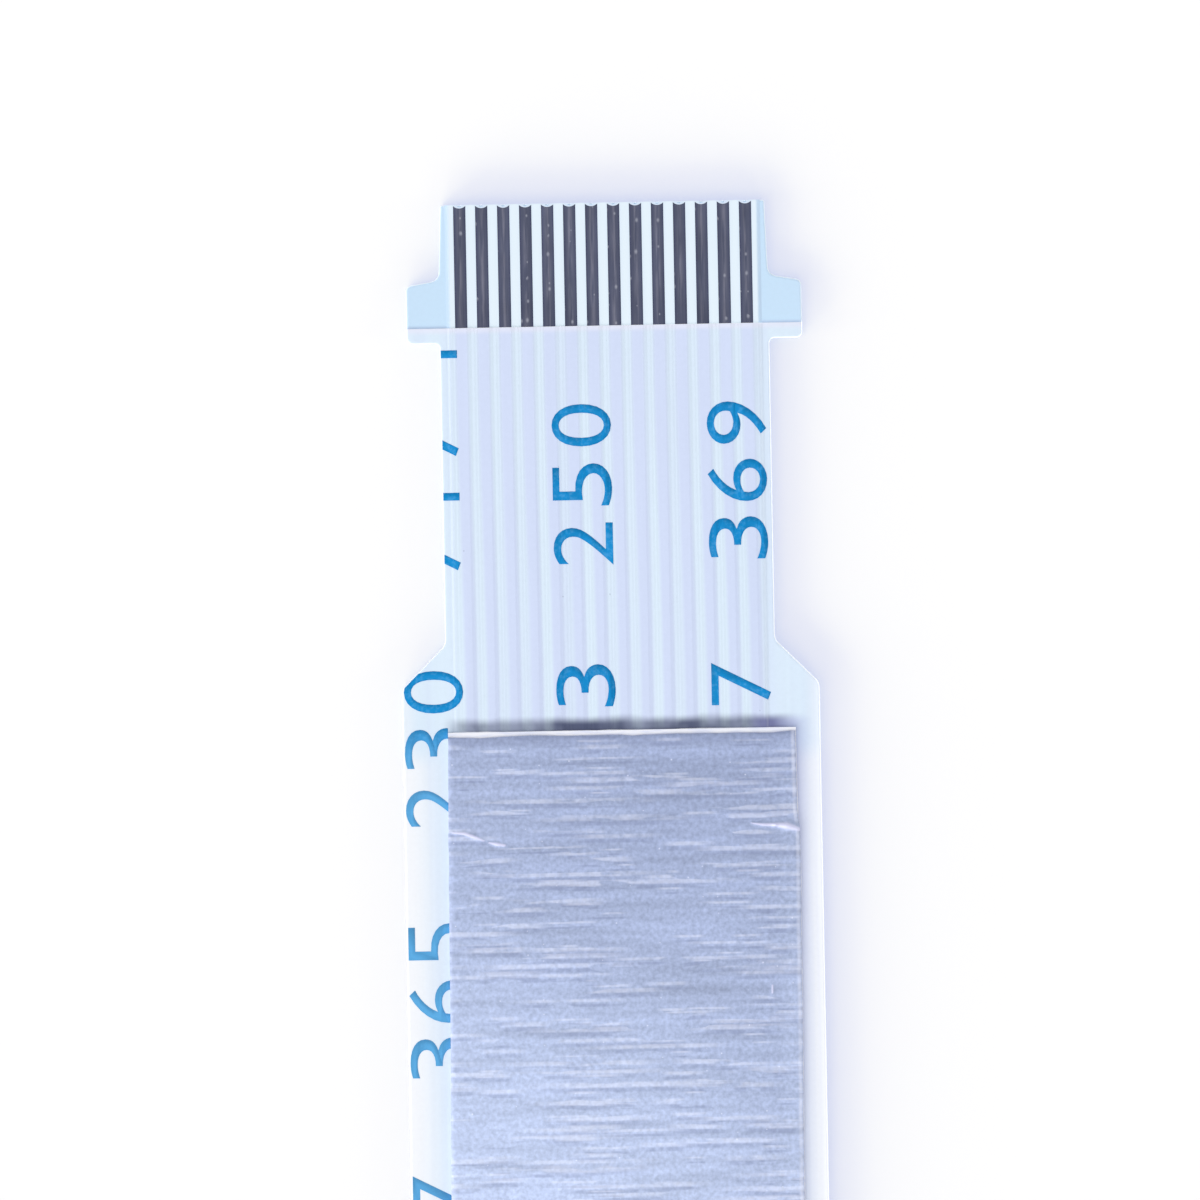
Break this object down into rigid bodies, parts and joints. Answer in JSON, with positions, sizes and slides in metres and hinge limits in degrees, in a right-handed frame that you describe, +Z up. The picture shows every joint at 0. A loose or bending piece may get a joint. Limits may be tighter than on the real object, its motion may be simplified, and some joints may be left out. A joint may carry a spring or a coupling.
{
  "type": "flat flexible cable",
  "caption": "Flat flexible drive cable: laminated flat conductors, stiffened eared contact ends and a brushed foil shield.",
  "frame": {"origin": "centre of the cable on the surface it lies on", "axes": "+Y along the cable towards the near contact end, +Z up through the contacts, +X across the cable"},
  "size_m": [0.0094, 0.08, 0.0005],
  "materials": {
    "back_film": "satin polyester film",
    "adhesive": "white hot-melt adhesive",
    "front_film": "satin white polyester film, ribbed",
    "stiffener": "light blue polyester sheet",
    "backing": "white adhesive backing",
    "foil": "brushed across the cable",
    "contact": "tinned copper, drawn lengthwise"
  },
  "bodies": {
    "root": {"base_film": "back_film", "adhesive_bed": "adhesive", "cover_film": "front_film", "stiffener_near": "stiffener", "stiffener_far": "stiffener", "shield_backing": "backing", "shield_foil": "foil", "conductor_01": "contact", "conductor_02": "contact", "conductor_03": "contact", "conductor_04": "contact", "conductor_05": "contact", "conductor_06": "contact", "conductor_07": "contact", "conductor_08": "contact", "conductor_09": "contact", "conductor_10": "contact", "conductor_11": "contact", "conductor_12": "contact", "conductor_13": "contact", "conductor_14": "contact"}
  },
  "joints": []
}
